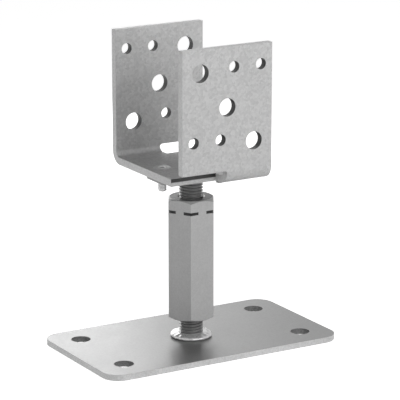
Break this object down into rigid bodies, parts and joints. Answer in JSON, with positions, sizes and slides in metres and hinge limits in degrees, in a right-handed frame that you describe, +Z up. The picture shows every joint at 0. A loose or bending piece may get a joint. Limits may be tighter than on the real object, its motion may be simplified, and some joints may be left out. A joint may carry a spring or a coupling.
{
  "type": "timber post base",
  "caption": "Height-adjustable steel base for a timber post: drilled ground plate, threaded rod, hexagonal adjusting sleeve and a U bracket with bolt and nail holes",
  "frame": {"origin": "centre of the base plate's underside, on the axis of the rods", "axes": "+Z up along the rods; X along the base plate's long side; the bracket's side plates face -Y and +Y"},
  "size_m": [0.176, 0.1, 0.2095],
  "materials": {
    "zinc_plate": "hot-dip galvanised steel plate, satin",
    "zinc_weld": "galvanised weld bead",
    "zinc_thread": "galvanised threaded rod",
    "zinc_sleeve": "galvanised hexagon bar, fine grained",
    "zinc_screw": "zinc-plated screw",
    "zinc_bracket": "galvanised folded sheet, matt spangle"
  },
  "bodies": {
    "base": {"base_plate": "zinc_plate", "lower_weld": "zinc_weld", "lower_rod": "zinc_thread"},
    "sleeve": {"hex_sleeve": "zinc_sleeve"},
    "head": {"upper_rod": "zinc_thread", "upper_weld": "zinc_weld", "head_plate": "zinc_plate", "floor_screw_left": "zinc_screw", "floor_screw_right": "zinc_screw", "u_bracket": "zinc_bracket"}
  },
  "joints": [
    {"name": "head_lift", "type": "slide", "parent": "base", "child": "head", "axis": [0, 0, 1], "range_m": [-0.016, 0.032]},
    {"name": "sleeve_rise", "type": "slide", "parent": "base", "child": "sleeve", "axis": [0, 0, 1], "range_m": [-0.008, 0.016]}
  ],
  "couplings": [
    {"joint": "sleeve_rise", "follows": "head_lift", "ratio": 0.5}
  ]
}
